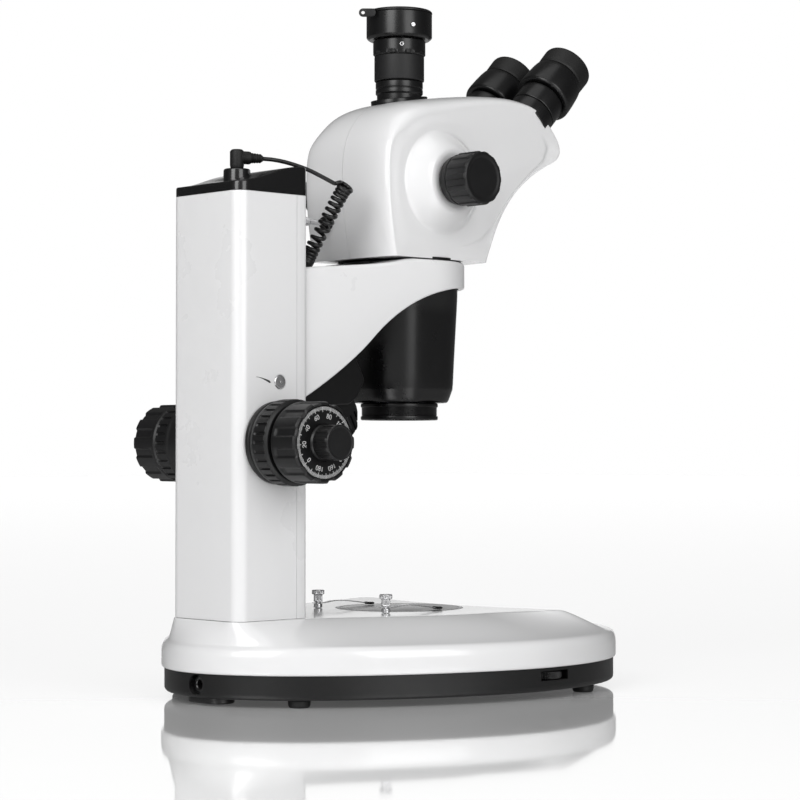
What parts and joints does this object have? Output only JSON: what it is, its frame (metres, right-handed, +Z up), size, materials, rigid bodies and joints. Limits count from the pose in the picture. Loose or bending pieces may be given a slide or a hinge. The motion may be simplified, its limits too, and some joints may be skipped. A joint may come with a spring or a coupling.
{
  "type": "stereo microscope",
  "caption": "Trinocular stereo zoom microscope on a pillar stand, with a curved lit base, rack focus, tilted eyepieces and a camera port.",
  "frame": {"origin": "on the bench under the middle of the footprint", "axes": "+Z up, -Y towards the user at the eyepieces, +X to the user's right"},
  "size_m": [0.2974, 0.3721, 0.506],
  "materials": {
    "white_paint": "gloss",
    "white_housing": "gloss",
    "black_metal": "satin",
    "black_plastic": "satin",
    "black_gloss": "gloss",
    "black_rubber": "matte",
    "steel": "satin",
    "aluminium": "satin",
    "brass": "satin",
    "stage_grey": "satin",
    "diffuser": "frosted",
    "lens_glass": "coated"
  },
  "bodies": {
    "root": {"base_housing": "white_housing", "base_tray": "black_plastic", "foot_1": "black_rubber", "foot_2": "black_rubber", "foot_3": "black_rubber", "foot_4": "black_rubber", "power_inlet": "black_plastic", "light_panel": "diffuser", "stage_plate": "stage_grey", "pillar_column": "white_paint", "pillar_front_cover": "white_paint", "pillar_cap": "black_gloss", "guide_frame": "steel", "side_plug": "steel", "cord_plug": "black_rubber", "cord_lead": "black_rubber", "cord_coil": "black_rubber"},
    "focus_arm": {"focus_arm": "white_paint", "slide_carriage": "aluminium", "focus_rack": "brass", "lamp_bracket": "black_metal"},
    "lamp": {"lamp_housing": "black_metal", "lamp_lens": "lens_glass"},
    "head_lock": {"head_lock_screw": "black_plastic"},
    "coarse_focus": {"pinion_shaft": "steel", "coarse_knob_left": "black_plastic", "coarse_knob_right": "black_plastic"},
    "fine_focus": {"fine_knob_left": "black_plastic", "fine_knob_right": "black_plastic", "focus_dial": "black_metal"},
    "tension": {"tension_collar": "black_plastic"},
    "head": {"head_shell_left": "white_housing", "head_shell_right": "white_housing", "head_mount_ring": "black_metal", "optics_core": "aluminium", "objective_barrel": "black_metal", "nosepiece_ring": "black_metal", "objective_lens": "lens_glass", "photo_port": "black_metal", "photo_tube": "black_metal", "camera_cup": "black_metal"},
    "zoom": {"zoom_shaft": "steel", "zoom_knob_left": "black_plastic", "zoom_knob_right": "black_plastic"},
    "eyepiece_left": {"eyepiece_tube_left": "black_metal"},
    "eyepiece_right": {"eyepiece_tube_right": "black_metal"},
    "diopter_left": {"diopter_ring_left": "black_metal", "eyecup_left": "black_rubber"},
    "diopter_right": {"diopter_ring_right": "black_metal", "eyecup_right": "black_rubber"},
    "photo_lock": {"photo_lock_ring": "black_metal"},
    "dust_cap": {"dust_cap": "black_plastic"},
    "light_path": {"light_path_rod": "steel"},
    "dimmer_left": {"dimmer_wheel_left": "black_plastic"},
    "dimmer_right": {"dimmer_wheel_right": "black_plastic"},
    "clip_left": {"clip_post_left": "steel", "clip_spring_left": "steel"},
    "clip_right": {"clip_post_right": "steel", "clip_spring_right": "steel"}
  },
  "joints": [
    {"name": "focus_slide", "type": "slide", "parent": "root", "child": "focus_arm", "axis": [0, 0, 1], "range_m": [-0.07, 0.035], "deforming": ["cord_coil"]},
    {"name": "coarse_focus", "type": "hinge", "parent": "root", "child": "coarse_focus", "pos_m": [0, 0.137, 0.181], "axis": [1, 0, 0], "range_deg": [-335, 669]},
    {"name": "fine_focus", "type": "hinge", "parent": "coarse_focus", "child": "fine_focus", "pos_m": [0, 0.137, 0.181], "axis": [1, 0, 0], "continuous": true},
    {"name": "tension", "type": "hinge", "parent": "root", "child": "tension", "pos_m": [0, 0.137, 0.181], "axis": [1, 0, 0], "range_deg": [-60, 60]},
    {"name": "head_swivel", "type": "hinge", "parent": "focus_arm", "child": "head", "pos_m": [0, -0.017, 0.3185], "axis": [0, 0, 1], "range_deg": [-45, 45]},
    {"name": "head_lock", "type": "hinge", "parent": "focus_arm", "child": "head_lock", "pos_m": [0, -0.017, 0.3065], "axis": [1, 0, 0], "range_deg": [-360, 0]},
    {"name": "lamp_tilt", "type": "hinge", "parent": "focus_arm", "child": "lamp", "pos_m": [0, 0.065, 0.222], "axis": [1, 0, 0], "range_deg": [-10, 10]},
    {"name": "zoom", "type": "hinge", "parent": "head", "child": "zoom", "pos_m": [0, -0.017, 0.3735], "axis": [1, 0, 0], "range_deg": [-80, 80]},
    {"name": "eyepiece_right_swing", "type": "hinge", "parent": "head", "child": "eyepiece_right", "pos_m": [0.0325, -0.1386, 0.43], "axis": [0, -0.7071, 0.7071], "range_deg": [-48.5, 11.5]},
    {"name": "eyepiece_left_swing", "type": "hinge", "parent": "head", "child": "eyepiece_left", "pos_m": [-0.0325, -0.1386, 0.43], "axis": [0, -0.7071, 0.7071], "range_deg": [-11.5, 48.5]},
    {"name": "diopter_right", "type": "hinge", "parent": "eyepiece_right", "child": "diopter_right", "pos_m": [0.029, -0.1312, 0.4374], "axis": [0, -0.7071, 0.7071], "range_deg": [-150, 150]},
    {"name": "diopter_left", "type": "hinge", "parent": "eyepiece_left", "child": "diopter_left", "pos_m": [-0.029, -0.1312, 0.4374], "axis": [0, -0.7071, 0.7071], "range_deg": [-150, 150]},
    {"name": "photo_lock", "type": "hinge", "parent": "head", "child": "photo_lock", "pos_m": [0, -0.017, 0.478], "axis": [0, 0, 1], "range_deg": [-60, 60]},
    {"name": "dust_cap", "type": "slide", "parent": "head", "child": "dust_cap", "axis": [0, 0, 1], "range_m": [0, 0.03]},
    {"name": "light_path", "type": "slide", "parent": "head", "child": "light_path", "axis": [0, 1, 0], "range_m": [0, 0.008]},
    {"name": "dimmer_left", "type": "hinge", "parent": "root", "child": "dimmer_left", "pos_m": [-0.1335, -0.031, 0.0165], "axis": [0, 0, 1], "range_deg": [-135, 135]},
    {"name": "dimmer_right", "type": "hinge", "parent": "root", "child": "dimmer_right", "pos_m": [0.1335, -0.031, 0.0165], "axis": [0, 0, 1], "range_deg": [-135, 135]},
    {"name": "clip_left_swing", "type": "hinge", "parent": "root", "child": "clip_left", "pos_m": [-0.037, 0.0315, 0.058], "axis": [0, 0, 1], "range_deg": [-60, 60]},
    {"name": "clip_right_swing", "type": "hinge", "parent": "root", "child": "clip_right", "pos_m": [0.037, 0.0315, 0.058], "axis": [0, 0, 1], "range_deg": [-60, 60]}
  ],
  "couplings": [
    {"joint": "coarse_focus", "follows": "focus_slide", "rad_per_m": -166.67},
    {"joint": "eyepiece_left_swing", "follows": "eyepiece_right_swing", "ratio": -1}
  ]
}
